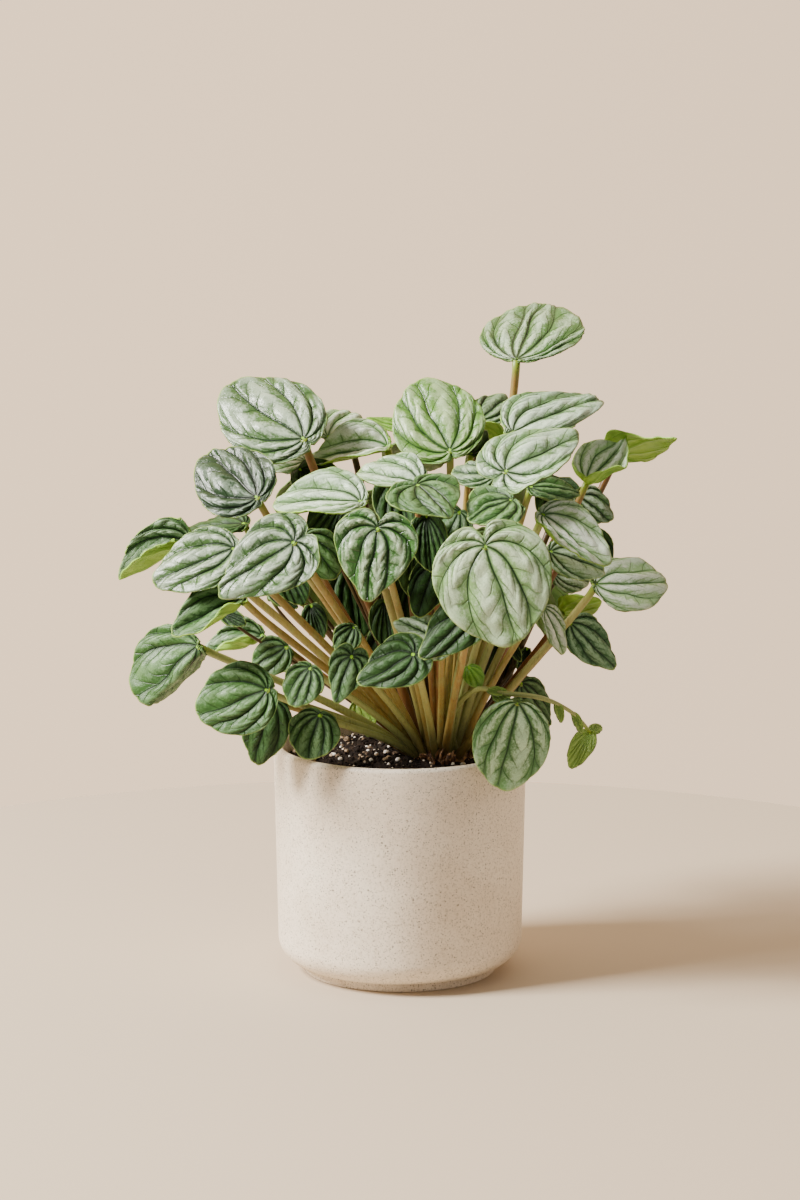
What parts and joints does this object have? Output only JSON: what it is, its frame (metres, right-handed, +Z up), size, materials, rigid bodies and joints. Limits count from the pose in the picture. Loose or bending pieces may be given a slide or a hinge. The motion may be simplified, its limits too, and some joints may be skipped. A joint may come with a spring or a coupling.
{
  "type": "potted peperomia",
  "caption": "Potted peperomia with ribbed, heart-shaped, silver-striped leaves on a fan of stalks, in a plain round stoneware pot of soil.",
  "frame": {"origin": "middle of the pot's underside, on the surface that it stands on", "axes": "+Z up along the pot's axis, -Y to the front of the plant, +X to the right seen from the front"},
  "size_m": [0.2572, 0.212, 0.3153],
  "materials": {
    "stoneware": "matt, warm beige with fine dark specks",
    "soil": "dark, crumbly potting mix with white grains",
    "stalk": "smooth and fleshy, tan to olive",
    "blade": "satin, silver between dark green veins",
    "young_blade": "satin, plain lime green"
  },
  "bodies": {
    "root": {"pot": "stoneware", "soil": "soil", "stalks": "stalk", "back_shoot_1": "blade", "back_shoot_2": "blade", "leaf_crest": "blade", "leaf_upper_1": "blade", "leaf_upper_2": "blade", "leaf_upper_3": "blade", "leaf_upper_4": "blade", "leaf_upper_5": "blade", "leaf_upper_6": "blade", "leaf_upper_7": "blade", "leaf_upper_8": "blade", "leaf_upper_9": "blade", "leaf_upper_10": "blade", "leaf_upper_11": "young_blade", "leaf_upper_12": "blade", "leaf_upper_13": "blade", "leaf_upper_14": "blade", "leaf_upper_15": "blade", "leaf_middle_1": "blade", "leaf_middle_2": "blade", "leaf_middle_3": "blade", "leaf_middle_4": "blade", "leaf_middle_5": "blade", "leaf_middle_6": "blade", "leaf_middle_7": "blade", "leaf_middle_8": "blade", "leaf_middle_9": "blade", "leaf_middle_10": "blade", "leaf_middle_11": "blade", "leaf_middle_12": "blade", "leaf_middle_13": "blade", "leaf_middle_14": "blade", "leaf_middle_15": "blade", "leaf_middle_16": "blade", "leaf_middle_17": "blade", "leaf_middle_18": "blade", "leaf_lower_1": "blade", "leaf_lower_2": "blade", "leaf_lower_3": "blade", "leaf_lower_4": "blade", "leaf_lower_5": "blade", "leaf_lower_6": "blade", "leaf_lower_7": "blade", "leaf_lower_8": "blade", "leaf_lower_9": "blade", "leaf_lower_10": "blade", "leaf_lower_11": "blade", "leaf_lower_12": "young_blade", "leaf_lower_13": "young_blade", "leaf_back_1": "young_blade", "leaf_back_2": "blade", "leaf_back_3": "young_blade", "leaf_back_4": "blade", "leaf_back_5": "blade", "leaf_back_6": "young_blade", "leaf_back_7": "blade", "leaf_back_8": "blade"}
  },
  "joints": []
}
